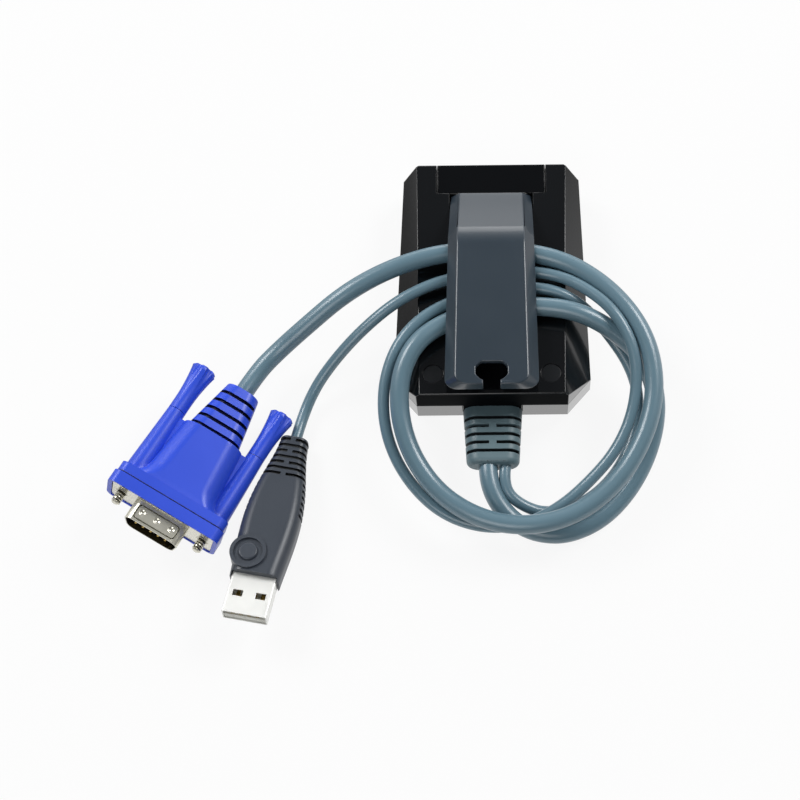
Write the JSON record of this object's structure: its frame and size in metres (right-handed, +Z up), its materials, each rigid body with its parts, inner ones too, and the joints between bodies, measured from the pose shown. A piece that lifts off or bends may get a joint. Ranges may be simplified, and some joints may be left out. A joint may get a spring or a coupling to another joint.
{
  "type": "laptop console adapter",
  "caption": "Small bevelled case with a cable clip on its back and two wound cords, one to a 15-pin video plug with thumbscrews, one to a USB-A plug.",
  "frame": {"origin": "middle of the case with its clip, on the table under its front face", "axes": "+Z up from the front face to the clip, +Y towards the mini USB socket, -Y towards the strain relief"},
  "size_m": [0.1529, 0.1353, 0.0289],
  "materials": {
    "black_plastic": "moulded, fine texture",
    "clip_plastic": "moulded, satin",
    "black_rubber": "moulded, matt",
    "steel": "bright",
    "nickel": "plated",
    "board_green": "solder resist",
    "chip_black": "moulded, matt",
    "header_white": "moulded, natural",
    "grey_rubber": "moulded, satin",
    "cord_grey": "extruded, satin",
    "plug_blue": "moulded, satin",
    "carrier_blue": "moulded, satin",
    "gold": "plated",
    "charcoal_rubber": "moulded, satin",
    "tongue_white": "moulded, natural"
  },
  "bodies": {
    "case": {"front_cover": "black_plastic", "back_cover": "black_plastic", "cable_clip": "clip_plastic", "screw_caps": "black_rubber", "clip_screws": "steel", "case_screws": "steel", "board_screws": "steel", "main_board": "board_green", "capture_chip": "chip_black", "bridge_chip": "chip_black", "memory_chip": "chip_black", "crystal": "steel", "mini_usb_socket": "nickel", "mini_usb_tongue": "chip_black", "video_header": "header_white", "usb_header": "header_white", "video_leads": "cord_grey", "usb_leads": "cord_grey", "strain_relief": "grey_rubber", "video_cable": "cord_grey", "usb_cable": "cord_grey", "vga_hood": "plug_blue", "vga_shell": "nickel", "vga_insulator": "carrier_blue", "vga_pins": "gold", "usb_overmold": "charcoal_rubber", "usb_shell": "nickel", "usb_tongue": "tongue_white", "usb_contacts": "gold"},
    "left_thumbscrew": {"left_knob": "plug_blue", "left_screw": "nickel"},
    "right_thumbscrew": {"right_knob": "plug_blue", "right_screw": "nickel"}
  },
  "joints": [
    {"name": "left_thumbscrew_turn", "type": "hinge", "parent": "case", "child": "left_thumbscrew", "pos_m": [-0.08235, -0.02988, 0.01205], "axis": [-0.4675, -0.8812, 0.07], "continuous": true},
    {"name": "right_thumbscrew_turn", "type": "hinge", "parent": "case", "child": "right_thumbscrew", "pos_m": [-0.06113, -0.04161, 0.00602], "axis": [-0.4675, -0.8812, 0.07], "continuous": true}
  ]
}
